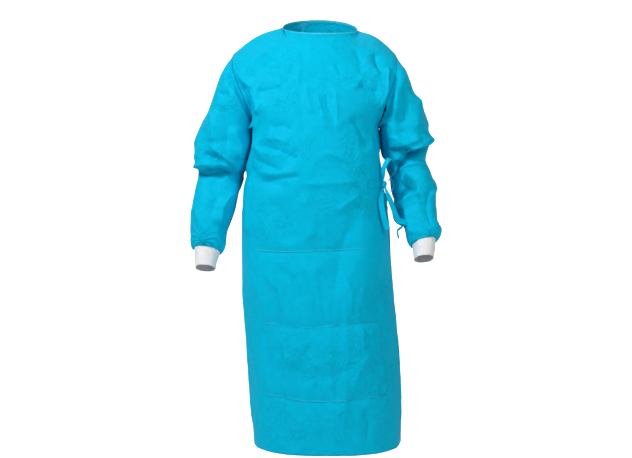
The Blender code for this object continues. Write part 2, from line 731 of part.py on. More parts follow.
def ties(front, front_out):
    """The front tie with its sewn patch, the wrap tie, and the bow with its tails."""
    patch("tie_patch", front, front_out, PATCH_COLUMNS, PATCH_HEIGHT)
    patch("tie_front", front, front_out, FRONT_TIE_COLUMNS, TIE_WIDTH)
    patch("tie_wrap", front, front_out, WRAP_TIE_COLUMNS, TIE_WIDTH, (0.0, LAYER_STEP))
    spot, out = panel_spot(front, front_out, KNOT_COLUMN, KNOT_Z)
    place = spot + out * KNOT_LIFT
    knot(place)
    strip("tie_loop_large", LARGE_LOOP, place, around=LARGE_LOOP_CENTRE)
    strip("tie_loop_small", SMALL_LOOP, place, around=SMALL_LOOP_CENTRE, width=SMALL_LOOP_WIDTH)
    strip("tie_tail_long", LONG_TAIL, place, facing=(0.3, -1, 0.1))
    strip("tie_tail_broad", BROAD_TAIL, place, facing=(-0.2, -1, 0))
    strip("tie_tail_thin", THIN_TAIL, place, facing=(0.8, -0.6, 0), width=THIN_TAIL_WIDTH)


def main():
    front, front_out, back, back_out = body_halves()
    sleeve("left", LEFT_ARM, LEFT_WRIST, front, front_out, back, back_out)
    sleeve("right", RIGHT_ARM, RIGHT_WRIST, front, front_out, back, back_out)
    body_panels(front, front_out, back, back_out)
    binding(front, front_out, back, back_out)
    tab(back, back_out)
    ties(front, front_out)


def clear_scene():
    for thing in list(bpy.data.objects):
        bpy.data.objects.remove(thing, do_unlink=True)


clear_scene()
GOWN = bpy.data.collections.new("surgical_gown")
bpy.context.scene.collection.children.link(GOWN)
main()
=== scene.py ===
"""Looks of a blue wrap-back surgical gown, filled out as if on a wearer, with nothing inside it.

Metres, +Z up. The gown's front faces -Y and the wearer's left is +X. Each cloth is a thin
shell on its solid's outer side, with its creases placed one by one.
"""

from collections import namedtuple
from math import ceil, cos, pi, radians, sin, sqrt

import bmesh
import bpy
import numpy as np
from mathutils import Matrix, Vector, kdtree, noise


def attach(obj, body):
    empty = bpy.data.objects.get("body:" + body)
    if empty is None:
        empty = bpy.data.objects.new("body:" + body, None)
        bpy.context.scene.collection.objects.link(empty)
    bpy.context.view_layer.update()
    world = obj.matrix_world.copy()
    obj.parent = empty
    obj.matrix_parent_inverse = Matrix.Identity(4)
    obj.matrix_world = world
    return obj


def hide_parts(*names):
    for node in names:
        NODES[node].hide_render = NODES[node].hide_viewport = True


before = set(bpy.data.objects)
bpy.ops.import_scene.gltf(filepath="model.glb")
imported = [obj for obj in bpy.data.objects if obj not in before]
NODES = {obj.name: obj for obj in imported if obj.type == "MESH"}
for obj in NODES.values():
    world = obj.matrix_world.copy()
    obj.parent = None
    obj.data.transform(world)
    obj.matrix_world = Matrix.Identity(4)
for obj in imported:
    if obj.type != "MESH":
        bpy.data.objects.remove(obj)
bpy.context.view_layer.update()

# Making the shells
MERGE = 1e-5
WALL_CORNER = radians(45)  # a solid's wall turns more than this at its rim
CORNER_TURN = radians(20)  # a rim that turns more than this keeps its corner
CLOTH_THICK = 0.0014
CLOTH_LEVELS = 3  # of subdivision
TRIM_LEVELS = 2
LONG_SEAM_LEAN = 0.4  # outwards for 1 up, towards the end of a tube's long seam
SEAM_REACH = 0.0025  # rims of two pieces this near each other are sewn together
RIM_STEP = 0.003
CLEARANCE_SHARE = 0.4  # of the way to a neighbour that a fold may rise
SAMPLE_EVERY = 3  # that way is measured to every third point of the neighbour

# Cloths: piece, its solid, and its flat cut. A tube's cut is all round. Share is the cut's
# area out of its width times its length.
Cloth = namedtuple("Cloth", "piece node width length share held hangs_from")
CLOTHS = (
    Cloth("front_cloth", "front_panel", 0.78, 1.26, 0.82, "hung", "neck_band"),
    Cloth("left_back_cloth", "back_panel_left", 0.56, 1.29, 0.82, "hung", "neck_band"),
    Cloth("right_back_cloth", "back_panel_right", 0.72, 1.29, 0.78, "hung", "neck_band"),
    Cloth("left_sleeve_cloth", "sleeve_left", 0.52, 0.60, 0.80, "gathered", "front_cloth"),
    Cloth("right_sleeve_cloth", "sleeve_right", 0.54, 0.62, 0.80, "gathered", "front_cloth"),
    Cloth("left_cuff_knit", "cuff_left", 0.200, 0.060, 1.0, "hung", "left_sleeve_cloth"),
    Cloth("right_cuff_knit", "cuff_right", 0.205, 0.060, 1.0, "hung", "right_sleeve_cloth"),
)
BODY = ("front_cloth", "left_back_cloth", "right_back_cloth")
SLEEVES = ("left_sleeve_cloth", "right_sleeve_cloth")
CUFFS = ("left_cuff_knit", "right_cuff_knit")

# Small pieces: piece, its solid, flat width and length, and what it is sewn or tied to. One
# that is no free sheet has no flat size.
Trim = namedtuple("Trim", "piece node width length finish held hangs_from")
TRIMS = (
    Trim("neck_band", "neck_binding", 0.010, 0.52, "binding", "folded", "front_cloth"),
    Trim("neck_closure", "neck_tab", 0.0, 0.0, "closure", "laid", "left_back_cloth"),
    Trim("waist_patch", "tie_patch", 0.022, 0.026, "tie", "laid", "front_cloth"),
    Trim("front_strap", "tie_front", 0.016, 0.042, "tie", "laid", "waist_patch"),
    Trim("wrap_strap", "tie_wrap", 0.016, 0.092, "tie", "laid", "right_back_cloth"),
    Trim("large_loop", "tie_loop_large", 0.016, 0.172, "tie", "folded", "strap_knot"),
    Trim("small_loop", "tie_loop_small", 0.012, 0.070, "tie", "folded", "strap_knot"),
    Trim("long_end", "tie_tail_long", 0.016, 0.124, "tie", "hung", "strap_knot"),
    Trim("broad_end", "tie_tail_broad", 0.016, 0.120, "tie", "hung", "strap_knot"),
    Trim("thin_end", "tie_tail_thin", 0.010, 0.170, "tie", "hung", "strap_knot"),
)
TIE_NODES = [trim.node for trim in TRIMS if trim.finish == "tie"] + ["tie_knot"]
TIE_NEAR = 0.008  # folds stay off the cloth this near to a tie, and fade in past it
TIE_FADE = 0.030
STRAP_BEVEL = 0.0004
KNOT_TURNS = 1.5  # the strap's turns round the knot, and their slants to a metre
KNOT_SLANTS = (120, 260)
KNOT_RELIEF = 0.0016
KNOT_LEVEL = 0.6

# Creases of the body, the arms, one arm or all of these, drawn as seen from an azimuth in
# degrees. Each row has points across and up, in metres, then width, height and edge. A
# height above zero is a ridge, edge 1 is crisp and 2 is soft.
CREASE_ROWS = (
    # Folds left by the pack, level and upright
    ("body", 0, (
        (((-0.215, -0.648), (-0.136, -0.652), (-0.085, -0.651), (0.059, -0.645), (0.150, -0.642)),
          0.014, -0.0035, 0.9),
        (((-0.190, -0.855), (-0.122, -0.864), (-0.020, -0.866), (0.052, -0.857), (0.116, -0.850),
          (0.215, -0.858)), 0.016, -0.0040, 0.9),
        (((-0.190, -1.062), (-0.065, -1.074), (0.000, -1.075), (0.085, -1.070), (0.163, -1.065),
          (0.225, -1.058)), 0.016, -0.0040, 0.9),
    )),
    ("body", 180, (
        (((-0.210, -0.652), (-0.050, -0.646), (0.210, -0.655)), 0.015, -0.0035, 0.9),
        (((-0.220, -0.858), (0.020, -0.866), (0.210, -0.860)), 0.016, 0.0035, 0.9),
        (((-0.230, -1.066), (0.000, -1.074), (0.200, -1.064)), 0.016, -0.0035, 0.9),
    )),
    ("body", 60, (
        (((-0.111, -0.690), (-0.106, -0.950), (-0.110, -1.205)), 0.014, 0.0035, 1.0),
        (((0.078, -0.633), (0.080, -0.900), (0.078, -1.206)), 0.014, 0.0035, 1.0),
    )),
    ("body", -60, (
        (((-0.069, -0.700), (-0.066, -0.960), (-0.070, -1.215)), 0.014, 0.0035, 1.0),
        (((0.070, -0.700), (0.073, -0.960), (0.071, -1.225)), 0.014, -0.0030, 1.0),
        (((0.163, -0.715), (0.160, -0.980), (0.165, -1.200)), 0.014, 0.0035, 1.0),
    )),
    # Waist and belly, at the wearer's right
    ("body", 0, (
        (((-0.195, -0.385), (-0.150, -0.405), (-0.102, -0.428)), 0.011, -0.0048, 1.1),
        (((-0.195, -0.425), (-0.140, -0.430), (-0.060, -0.424)), 0.014, 0.0048, 1.2),
        (((-0.190, -0.455), (-0.106, -0.442), (-0.045, -0.434)), 0.011, -0.0050, 1.1),
        (((-0.180, -0.345), (-0.113, -0.366), (-0.060, -0.392)), 0.014, -0.0050, 1.3),
        (((-0.149, -0.299), (-0.111, -0.292), (-0.076, -0.309)), 0.011, -0.0040, 1.2),
        (((-0.160, -0.328), (-0.120, -0.330), (-0.085, -0.345)), 0.013, 0.0040, 1.5),
        (((-0.204, -0.430), (-0.208, -0.520), (-0.212, -0.625)), 0.014, 0.0050, 1.0),
        (((-0.150, -0.500), (-0.100, -0.560), (-0.085, -0.630)), 0.022, -0.0040, 1.6),
        (((-0.055, -0.480), (-0.020, -0.560), (-0.030, -0.630)), 0.020, 0.0035, 1.5),
    )),
    # Skirt
    ("body", 0, (
        (((-0.058, -0.667), (-0.036, -0.750), (-0.010, -0.830)), 0.011, 0.0030, 1.0),
        (((-0.020, -0.662), (0.006, -0.860)), 0.012, 0.0025, 1.0),
        (((0.006, -0.880), (0.037, -1.055)), 0.012, 0.0025, 1.0),
        (((-0.167, -0.870), (-0.143, -1.007)), 0.012, -0.0035, 1.1),
        (((-0.200, -0.720), (-0.165, -0.800), (-0.149, -0.860)), 0.012, 0.0030, 1.1),
        (((-0.125, -0.875), (-0.105, -0.930), (-0.070, -1.000)), 0.012, 0.0030, 1.0),
        (((0.119, -0.860), (0.124, -0.930)), 0.010, 0.0030, 1.0),
        (((0.200, -0.700), (0.170, -0.760), (0.150, -0.850)), 0.014, -0.0035, 1.2),
        (((0.110, -0.540), (0.060, -0.640), (0.040, -0.780)), 0.022, -0.0035, 1.6),
        (((0.060, -0.690), (0.090, -0.770), (0.085, -0.840)), 0.012, 0.0025, 1.1),
        (((-0.170, -0.700), (-0.120, -0.760), (-0.105, -0.830)), 0.010, 0.0030, 1.0),
        (((-0.130, -0.690), (-0.080, -0.730), (-0.060, -0.800)), 0.012, -0.0030, 1.1),
        (((0.150, -0.930), (0.110, -0.990), (0.090, -1.050)), 0.011, 0.0030, 1.0),
        (((-0.020, -0.900), (-0.050, -0.960), (-0.045, -1.040)), 0.011, -0.0028, 1.0),
        (((-0.110, -1.090), (-0.060, -1.130), (-0.050, -1.190)), 0.013, 0.0030, 1.1),
        (((0.120, -1.090), (0.140, -1.140), (0.130, -1.200)), 0.012, -0.0030, 1.1),
        (((0.040, -1.064), (0.068, -1.083), (0.051, -1.105), (0.062, -1.120)), 0.009, 0.0035, 1.0),
        (((-0.100, -0.960), (-0.040, -1.010), (0.050, -1.000), (0.110, -0.960)), 0.018, -0.0030,
          1.4),
    )),
    # Yoke, from the wearer's right shoulder to the left
    ("all", 0, (
        (((-0.268, -0.130), (-0.245, -0.160), (-0.215, -0.190)), 0.009, -0.0060, 1.0),
        (((-0.252, -0.128), (-0.225, -0.160), (-0.195, -0.185)), 0.009, 0.0040, 1.1),
        (((-0.240, -0.165), (-0.221, -0.196), (-0.203, -0.245), (-0.185, -0.290)), 0.012, -0.0120,
          1.1),
        (((-0.262, -0.175), (-0.240, -0.215), (-0.218, -0.265), (-0.200, -0.300)), 0.012, 0.0060,
          1.1),
        (((-0.205, -0.186), (-0.186, -0.225), (-0.172, -0.260)), 0.010, 0.0045, 1.3),
        (((0.200, -0.112), (0.194, -0.157), (0.190, -0.193), (0.176, -0.225), (0.162, -0.250)),
          0.010, 0.0070, 1.1),
        (((0.214, -0.120), (0.207, -0.160), (0.203, -0.200), (0.190, -0.240), (0.178, -0.275)),
          0.010, -0.0050, 1.2),
    )),
    ("body", 0, (
        (((-0.190, -0.195), (-0.150, -0.186), (-0.108, -0.180)), 0.011, -0.0045, 1.1),
        (((-0.199, -0.150), (-0.190, -0.100), (-0.155, -0.065)), 0.014, 0.0045, 1.2),
        (((-0.170, -0.120), (-0.140, -0.095), (-0.100, -0.080)), 0.012, -0.0035, 1.3),
        (((-0.160, -0.215), (-0.185, -0.260), (-0.190, -0.310)), 0.014, 0.0040, 1.3),
        (((0.100, -0.060), (0.118, -0.100), (0.122, -0.150)), 0.010, -0.0030, 1.2),
        (((0.160, -0.072), (0.168, -0.105), (0.176, -0.140)), 0.010, -0.0060, 1.2),
        (((0.118, -0.108), (0.150, -0.122), (0.178, -0.140)), 0.010, 0.0050, 1.1),
        (((0.110, -0.166), (0.140, -0.188), (0.176, -0.197)), 0.012, -0.0050, 1.2),
        (((0.085, -0.262), (0.120, -0.310), (0.145, -0.365)), 0.014, -0.0035, 1.2),
    )),
    # Small drag lines below the neck
    ("body", 0, (
        (((0.029, -0.119), (0.052, -0.140), (0.072, -0.165)), 0.007, 0.0022, 1.0),
        (((0.045, -0.105), (0.056, -0.140), (0.063, -0.172)), 0.007, -0.0020, 1.0),
        (((-0.044, -0.170), (-0.034, -0.215), (-0.020, -0.262)), 0.008, 0.0026, 1.0),
        (((-0.060, -0.190), (-0.054, -0.250), (-0.040, -0.325)), 0.009, -0.0026, 1.0),
        (((-0.014, -0.190), (0.004, -0.250), (0.018, -0.320)), 0.009, 0.0028, 1.0),
        (((0.015, -0.200), (0.024, -0.250), (0.050, -0.300)), 0.008, -0.0024, 1.0),
        (((0.040, -0.180), (0.048, -0.240), (0.046, -0.310)), 0.008, 0.0022, 1.0),
        (((-0.085, -0.055), (-0.075, -0.100), (-0.090, -0.150)), 0.008, -0.0024, 1.0),
        (((-0.070, -0.060), (-0.058, -0.120), (-0.064, -0.180)), 0.008, 0.0024, 1.0),
    )),
    # Pulls towards the knot
    ("body", 60, (
        (((-0.150, -0.365), (-0.110, -0.390), (-0.062, -0.424)), 0.011, 0.0045, 1.1),
        (((-0.190, -0.462), (-0.120, -0.455), (-0.072, -0.452)), 0.010, 0.0035, 1.1),
        (((-0.130, -0.540), (-0.100, -0.510), (-0.066, -0.480)), 0.011, 0.0035, 1.2),
        (((0.160, -0.420), (0.110, -0.438), (0.060, -0.452)), 0.012, 0.0040, 1.2),
        (((0.150, -0.560), (0.110, -0.520), (0.060, -0.480)), 0.012, 0.0035, 1.2),
    )),
    # Wearer's right side and the back
    ("body", -60, (
        (((-0.060, -0.330), (0.020, -0.370), (0.110, -0.380)), 0.020, 0.0050, 1.5),
        (((-0.050, -0.400), (0.040, -0.450), (0.120, -0.470)), 0.020, -0.0045, 1.5),
    )),
    ("body", 180, (
        (((-0.160, -0.440), (-0.060, -0.400), (0.080, -0.330)), 0.018, 0.0055, 1.3),
        (((-0.160, -0.480), (-0.040, -0.470), (0.100, -0.420)), 0.016, -0.0045, 1.3),
        (((-0.150, -0.520), (-0.080, -0.580), (-0.060, -0.700)), 0.020, 0.0050, 1.3),
        (((0.120, -0.180), (0.060, -0.210), (-0.060, -0.220)), 0.018, -0.0045, 1.4),
        (((-0.140, -0.130), (-0.100, -0.210), (-0.110, -0.320)), 0.016, 0.0040, 1.3),
        (((0.140, -0.130), (0.110, -0.230), (0.130, -0.330)), 0.016, 0.0040, 1.3),
        (((0.040, -0.560), (0.060, -0.800), (0.050, -1.000)), 0.022, 0.0045, 1.5),
    )),
    # Wearer's right sleeve
    ("arms", 0, (
        (((-0.325, -0.345), (-0.290, -0.368), (-0.262, -0.392), (-0.240, -0.430)), 0.013, 0.0110,
          1.2),
        (((-0.375, -0.405), (-0.335, -0.399), (-0.287, -0.400), (-0.256, -0.415)), 0.013, 0.0080,
          1.3),
        (((-0.366, -0.424), (-0.335, -0.418), (-0.287, -0.420), (-0.250, -0.440)), 0.009, -0.0100,
          1.1),
        (((-0.345, -0.372), (-0.305, -0.384), (-0.275, -0.400)), 0.010, -0.0060, 1.2),
        (((-0.284, -0.430), (-0.262, -0.455), (-0.245, -0.482)), 0.010, 0.0060, 1.0),
        (((-0.258, -0.480), (-0.286, -0.530), (-0.296, -0.585)), 0.015, 0.0065, 1.1),
        (((-0.330, -0.440), (-0.300, -0.500), (-0.320, -0.560)), 0.018, -0.0050, 1.4),
        (((-0.370, -0.520), (-0.345, -0.580), (-0.325, -0.610)), 0.012, 0.0040, 1.1),
        (((-0.256, -0.290), (-0.236, -0.345), (-0.240, -0.390)), 0.016, 0.0070, 1.1),
        (((-0.300, -0.191), (-0.283, -0.200), (-0.262, -0.193)), 0.008, -0.0050, 1.0),
        (((-0.290, -0.225), (-0.268, -0.300), (-0.272, -0.360)), 0.018, -0.0050, 1.4),
        (((-0.318, -0.240), (-0.312, -0.300), (-0.310, -0.345)), 0.020, 0.0045, 1.5),
    )),
    ("arms", -60, (
        (((-0.170, -0.408), (-0.125, -0.412), (-0.080, -0.405)), 0.014, 0.0080, 1.2),
        (((-0.170, -0.430), (-0.125, -0.434), (-0.080, -0.427)), 0.010, -0.0090, 1.1),
        (((-0.150, -0.290), (-0.130, -0.350), (-0.150, -0.400)), 0.016, 0.0050, 1.3),
    )),
    ("arms", -90, (
        (((-0.060, -0.480), (0.000, -0.520), (0.050, -0.500)), 0.016, -0.0060, 1.3),
        (((-0.050, -0.230), (0.000, -0.300), (0.020, -0.370)), 0.018, 0.0050, 1.4),
    )),
    ("arms", 180, (
        (((0.250, -0.300), (0.290, -0.350), (0.350, -0.370)), 0.014, 0.0070, 1.3),
        (((0.250, -0.420), (0.300, -0.440), (0.350, -0.420)), 0.011, -0.0080, 1.2),
        (((0.270, -0.500), (0.310, -0.540), (0.330, -0.600)), 0.015, 0.0050, 1.2),
    )),
    # Fullness between each sleeve and the body
    ("right arm", 90, (
        (((0.030, -0.250), (0.020, -0.330), (0.000, -0.430)), 0.060, 0.0090, 3.0),
    )),
    ("body", -90, (
        (((0.030, -0.230), (0.030, -0.330), (0.020, -0.440)), 0.070, 0.0090, 3.0),
    )),
    ("left arm", -90, (
        (((0.030, -0.250), (0.020, -0.330), (0.000, -0.400)), 0.060, 0.0090, 3.0),
    )),
    ("body", 90, (
        (((0.040, -0.230), (0.040, -0.310), (0.040, -0.380)), 0.060, 0.0080, 3.0),
    )),
    # Wearer's left sleeve
    ("arms", 0, (
        (((0.205, -0.322), (0.235, -0.338), (0.262, -0.335), (0.300, -0.318)), 0.015, 0.0080, 1.4),
        (((0.208, -0.348), (0.227, -0.360), (0.244, -0.352), (0.262, -0.366)), 0.009, -0.0080, 1.1),
        (((0.330, -0.318), (0.290, -0.342), (0.250, -0.366), (0.212, -0.405)), 0.012, 0.0080, 1.2),
        (((0.328, -0.345), (0.285, -0.365), (0.245, -0.392), (0.205, -0.432)), 0.010, -0.0120, 1.1),
        (((0.220, -0.425), (0.262, -0.404), (0.315, -0.398)), 0.012, 0.0060, 1.2),
        (((0.235, -0.449), (0.246, -0.470), (0.290, -0.480)), 0.009, -0.0065, 1.1),
        (((0.292, -0.485), (0.255, -0.500), (0.221, -0.527)), 0.012, 0.0070, 1.0),
        (((0.250, -0.530), (0.262, -0.570), (0.268, -0.612)), 0.014, 0.0060, 1.0),
        (((0.330, -0.460), (0.310, -0.530), (0.325, -0.590)), 0.016, -0.0050, 1.3),
        (((0.228, -0.170), (0.222, -0.225), (0.216, -0.280)), 0.014, 0.0060, 1.2),
        (((0.256, -0.150), (0.252, -0.230), (0.236, -0.300)), 0.018, -0.0055, 1.5),
        (((0.285, -0.180), (0.290, -0.250), (0.280, -0.310)), 0.020, 0.0040, 1.5),
    )),
    ("arms", 60, (
        (((0.050, -0.312), (0.081, -0.350), (0.125, -0.345), (0.171, -0.312)), 0.014, 0.0090, 1.2),
        (((0.050, -0.335), (0.081, -0.374), (0.125, -0.368), (0.171, -0.335)), 0.010, -0.0100, 1.1),
    )),
    ("arms", 90, (
        (((-0.040, -0.200), (0.010, -0.250), (0.030, -0.310)), 0.018, 0.0050, 1.4),
        (((-0.070, -0.500), (-0.010, -0.470), (0.050, -0.440)), 0.014, 0.0060, 1.2),
    )),
    ("arms", 180, (
        (((-0.300, -0.330), (-0.260, -0.350), (-0.210, -0.340)), 0.014, 0.0070, 1.3),
        (((-0.320, -0.390), (-0.270, -0.400), (-0.220, -0.380)), 0.011, -0.0080, 1.2),
        (((-0.310, -0.460), (-0.270, -0.500), (-0.270, -0.570)), 0.015, 0.0050, 1.2),
    )),
)
Crease = namedtuple("Crease", "on view line width height edge")
CREASES = [Crease(on, view, *row) for on, view, rows in CREASE_ROWS for row in rows]
CREASE_GAIN = 2.2
CRISPNESS = 0.85
PRESSED_EDGE = 0.9  # creases this crisp also have a pressed line, where they weigh this much
PRESSED_WEIGHT = 0.25
FACING = 0.35  # how far a cloth must face a crease's view to take the whole of it
TAPER = 0.22  # share of a crease's length over which each end dies away

# Uneven forms that run all over: wave length, height and stretch upwards, and whether they
# are ridged and whether they come in patches
RIPPLE_SEED = 3.1
RIDGE_LEVEL = 0.35  # what a ridged form rises above and falls below
PATCH_SCALE = 0.23  # size, strength and spread of the places with patchy forms
PATCH_GAIN = 1.6
PATCH_LEVEL = 0.35
Ripple = namedtuple("Ripple", "length height stretch ridged patchy")
BODY_RIPPLES = (
    Ripple(0.190, 0.0030, 1.5, False, False),
    Ripple(0.085, 0.0020, 1.6, True, False),
    Ripple(0.034, 0.0011, 1.2, True, True),
)
SLEEVE_RIPPLES = (
    Ripple(0.120, 0.0018, 1.2, False, False),
    Ripple(0.065, 0.0012, 1.2, True, False),
    Ripple(0.030, 0.0006, 1.1, True, True),
)
SEAM_FADE = 0.018  # creases of one piece die away this near its armhole or neck seam
NECK_TUCK = 0.0022  # how far the neck edge is pushed up into its binding
NECK_TUCK_REACH = 0.012
AT_SEAM = 0.3  # share of a crease that crosses a seam which is left on the seam itself

# Gathers where a sleeve meets its cuff, and ribs of the knit
GATHERS = 24
GATHER_HEIGHT = 0.0042
GATHER_REACH = 0.034
RIBS = 48
RIB_HEIGHT = 0.00035
CUFF_DENT = 0.0015
END_SHARE = 0.2  # of a cuff's points, those of one of its ends

# Colours, linear
BLUE = (0.0, 0.50, 0.74, 1.0)
BLUE_DEEP = (0.0, 0.46, 0.70, 1.0)
# Painted highlight for the pressed lines, standing in for the light on their raised tops
BLUE_PRESSED_HIGHLIGHT = (0.10, 0.66, 0.86, 1.0)
BLUE_BINDING = (0.06, 0.58, 0.76, 1.0)
KNIT_WHITE = (0.83, 0.83, 0.84, 1.0)
KNIT_SHADE = (0.62, 0.63, 0.66, 1.0)
CLOSURE_PALE = (0.10, 0.56, 0.70, 1.0)
STAGE_WHITE = (0.90, 0.90, 0.90, 1.0)
WHITE = (1.0, 1.0, 1.0, 1.0)
SHEEN_BLUE = (0.1, 0.8, 1.0, 1.0)
SHEEN_PALE = (0.6, 0.9, 1.0, 1.0)

# Relief of the gown cloth's bump, in metres, and shares of colour laid over it
CRUMPLE_RELIEF = 0.0011
SEWN_RELIEF = 0.0006
PRESSED_RELIEF = 0.0022
WEB_RELIEF = 0.00012
# Share of the painted highlight laid along the pressed lines
PRESSED_HIGHLIGHT_SHARE = 0.20
THREAD_SHARE = 0.35
STITCH_PITCH = 0.0035

# Camera and stage. The picture is 632 pixels wide, and 3 mm of the gown to a pixel.
PICTURE_WIDTH = 632
PIXEL = 0.0030
CAMERA_DISTANCE = 2.9
CAMERA_HEIGHT = -0.405
CAMERA_ASIDE = -0.012
HORIZON_ABOVE_MIDDLE = 64
SENSOR = 36.0
FLOOR_Z = -1.46
STAGE_HALF = 4.5
STAGE_BACK = 2.2
STAGE_BEND = 1.2
STAGE_STEPS = 16
STAGE_NEAR = 0.001
STAGE_GLOW = 0.16
STAGE_SEEN = 1.0

# Lights: name, place, what it points at, size and power
LIGHTS = (
    ("key", (-1.8, -1.6, 1.5), (0, 0, -0.10), 0.6, 64),
    ("fill", (1.1, -2.0, 0.9), (0.05, 0, -0.10), 1.4, 28),
    ("top", (0.2, 1.2, 1.6), (0, 0, -0.3), 1.4, 8),
)
WORLD_LIGHT = 0.14


# Shells from the solids

def merged_copy(node):
    """A solid's mesh with its loose triangles joined."""
    builder = bmesh.new()
    builder.from_mesh(NODES[node].data)
    bmesh.ops.remove_doubles(builder, verts=builder.verts, dist=MERGE)
    return builder


def smooth_regions(builder):
    """Groups of faces, parted where a solid's wall turns over its rim."""
    left = set(builder.faces)
    groups = []
    while left:
        waiting = [left.pop()]
        group = []
        while waiting:
            face = waiting.pop()
            group.append(face)
            for edge in face.edges:
                if len(edge.link_faces) != 2 or edge.calc_face_angle(0) > WALL_CORNER:
                    continue
                for other in edge.link_faces:
                    if other in left:
                        left.remove(other)
                        waiting.append(other)
        groups.append(group)
    return groups


def outer_side(cloth):
    """The outer side of a cloth's solid, in quads."""
    builder = merged_copy(cloth.node)
    middle = Vector((0, 0, 0))
    if cloth.piece not in BODY:
        for vertex in builder.verts:
            middle += vertex.co / len(builder.verts)

    def outwardness(group):
        return sum((f.calc_center_median() - middle).dot(f.normal) * f.calc_area() for f in group)

    outer = set(max(smooth_regions(builder), key=outwardness))
    rest = [face for face in builder.faces if face not in outer]
    bmesh.ops.delete(builder, geom=rest, context="FACES")
    bmesh.ops.join_triangles(
        builder, faces=builder.faces, angle_face_threshold=pi / 3, angle_shape_threshold=pi / 3
    )
    return builder


def hold_corners(builder):
    """Keeps a cloth's corners when it is subdivided."""
    crease = builder.verts.layers.float.new("crease_vert")
    for vertex in builder.verts:
        rim = [edge for edge in vertex.link_edges if edge.is_boundary]
        if len(rim) == 2:
            first, last = ((edge.other_vert(vertex).co - vertex.co).normalized() for edge in rim)
            if first.dot(last) > -cos(CORNER_TURN):
                vertex[crease] = 1.0


def mark_long_seam(builder, towards):
    """Marks the seam that closes a tube, from the rim vertex furthest one way."""
    rim = [vertex for vertex in builder.verts if vertex.is_boundary]
    vertex = max(rim, key=lambda v: v.co.dot(towards))
    edge = next(edge for edge in vertex.link_edges if not edge.is_boundary)
    while edge is not None:
        edge.seam = True
        vertex = edge.other_vert(vertex)
        onward = [
            other for other in vertex.link_edges
            if not other.is_boundary and not set(other.link_faces) & set(edge.link_faces)
        ]
        edge = onward[0] if onward and not vertex.is_boundary else None


def new_piece(name, builder):
    mesh = bpy.data.meshes.new(name)
    builder.to_mesh(mesh)
    builder.free()
    mesh.shade_smooth()
    piece = bpy.data.objects.new(name, mesh)
    bpy.context.scene.collection.objects.link(piece)
    return piece


def unwrap_flat(piece):
    """Lays a cloth's mesh out flat as its UV map, in metres."""
    bpy.context.view_layer.objects.active = piece
    bpy.ops.object.mode_set(mode="EDIT")
    bpy.ops.mesh.select_all(action="SELECT")
    bpy.ops.uv.unwrap(method="ANGLE_BASED", margin=0)
    bpy.ops.object.mode_set(mode="OBJECT")
    mesh = piece.data
    layer = mesh.uv_layers.active.data
    flat = np.empty(len(layer) * 2)
    layer.foreach_get("uv", flat)
    flat = flat.reshape(-1, 2)
    laid = 0.0
    for face in mesh.polygons:
        corners = flat[list(face.loop_indices)]
        after = np.roll(corners, -1, axis=0)
        laid += abs((corners[:, 0] * after[:, 1] - corners[:, 1] * after[:, 0]).sum()) / 2
    real = sum(face.area for face in mesh.polygons)
    layer.foreach_set("uv", (flat * sqrt(real / laid)).ravel())


def subdivide(piece, levels):
    """Replaces a piece's mesh with its smooth subdivision."""
    modifier = piece.modifiers.new("finer", "SUBSURF")
    modifier.levels = levels
    modifier.render_levels = levels
    modifier.boundary_smooth = "PRESERVE_CORNERS"
    graph = bpy.context.evaluated_depsgraph_get()
    finer = bpy.data.meshes.new_from_object(piece.evaluated_get(graph))
    piece.modifiers.remove(modifier)
    coarse = piece.data
    piece.data = finer
    finer.name = piece.name
    bpy.data.meshes.remove(coarse)
    finer.shade_smooth()


# Points, seams and distances

def points_of(piece):
    points = np.empty(len(piece.data.vertices) * 3)
    piece.data.vertices.foreach_get("co", points)
    return points.reshape(-1, 3)


def normals_of(piece):
    normals = np.empty(len(piece.data.vertices) * 3)
    piece.data.vertex_normals.foreach_get("vector", normals)
    return normals.reshape(-1, 3)


def move_points(piece, points):
    piece.data.vertices.foreach_set("co", points.ravel())
    piece.data.update()


def edge_samples(edges):
    """Points every few millimetres along some edges."""
    found = []
    for edge in edges:
        first, last = (vertex.co for vertex in edge.verts)
        count = ceil((last - first).length / RIM_STEP)
        found += [first.lerp(last, step / count) for step in range(count + 1)]
    return found


def tree_of(points):
    tree = kdtree.KDTree(len(points))
    for index, point in enumerate(points):
        tree.insert(point, index)
    tree.balance()
    return tree


def distances(points, tree):
    return np.array([tree.find(point)[2] for point in points])


def node_samples(nodes):
    """Corners and middles of the triangles of some solids."""
    found = []
    for node in nodes:
        mesh = NODES[node].data
        found += [vertex.co.copy() for vertex in mesh.vertices]
        found += [face.center.copy() for face in mesh.polygons]
    return found


def shell_samples(shells, names):
    """Some of the points of a few shells."""
    return [Vector(point) for name in names for point in points_of(shells[name])[::SAMPLE_EVERY]]


def smoothstep(value):
    value = np.clip(value, 0.0, 1.0)
    return value * value * (3 - 2 * value)


def sewn_rims(rims):
    """Rim points of each piece that lie on another piece's rim."""
    sewn = []
    for name, points in rims.items():
        others = [point for other, theirs in rims.items() if other != name for point in theirs]
        tree = tree_of(others)
        sewn += [point for point in points if tree.find(point)[2] < SEAM_REACH]
    return sewn


def share_rim_normals(shells, normals):
    """Gives sewn rims the same normals, so that folds that cross a seam still meet."""
    rims, owners, indices = [], [], []
    for name, piece in shells.items():
        builder = bmesh.new()
        builder.from_mesh(piece.data)
        for vertex in builder.verts:
            if vertex.is_boundary:
                rims.append(vertex.co.copy())
                owners.append(name)
                indices.append(vertex.index)
        builder.free()
    tree = tree_of(rims)
    shared = []
    for place, owner, index in zip(rims, owners, indices):
        total = np.zeros(3)
        for _, other, _ in tree.find_range(place, SEAM_REACH / 2):
            total += normals[owners[other]][indices[other]]
        shared.append((owner, index, total / np.linalg.norm(total)))
    for owner, index, normal in shared:
        normals[owner][index] = normal


def store_values(piece, name, values):
    attribute = piece.data.attributes.new(name, "FLOAT", "POINT")
    attribute.data.foreach_set("value", values)


# Creases and ripples

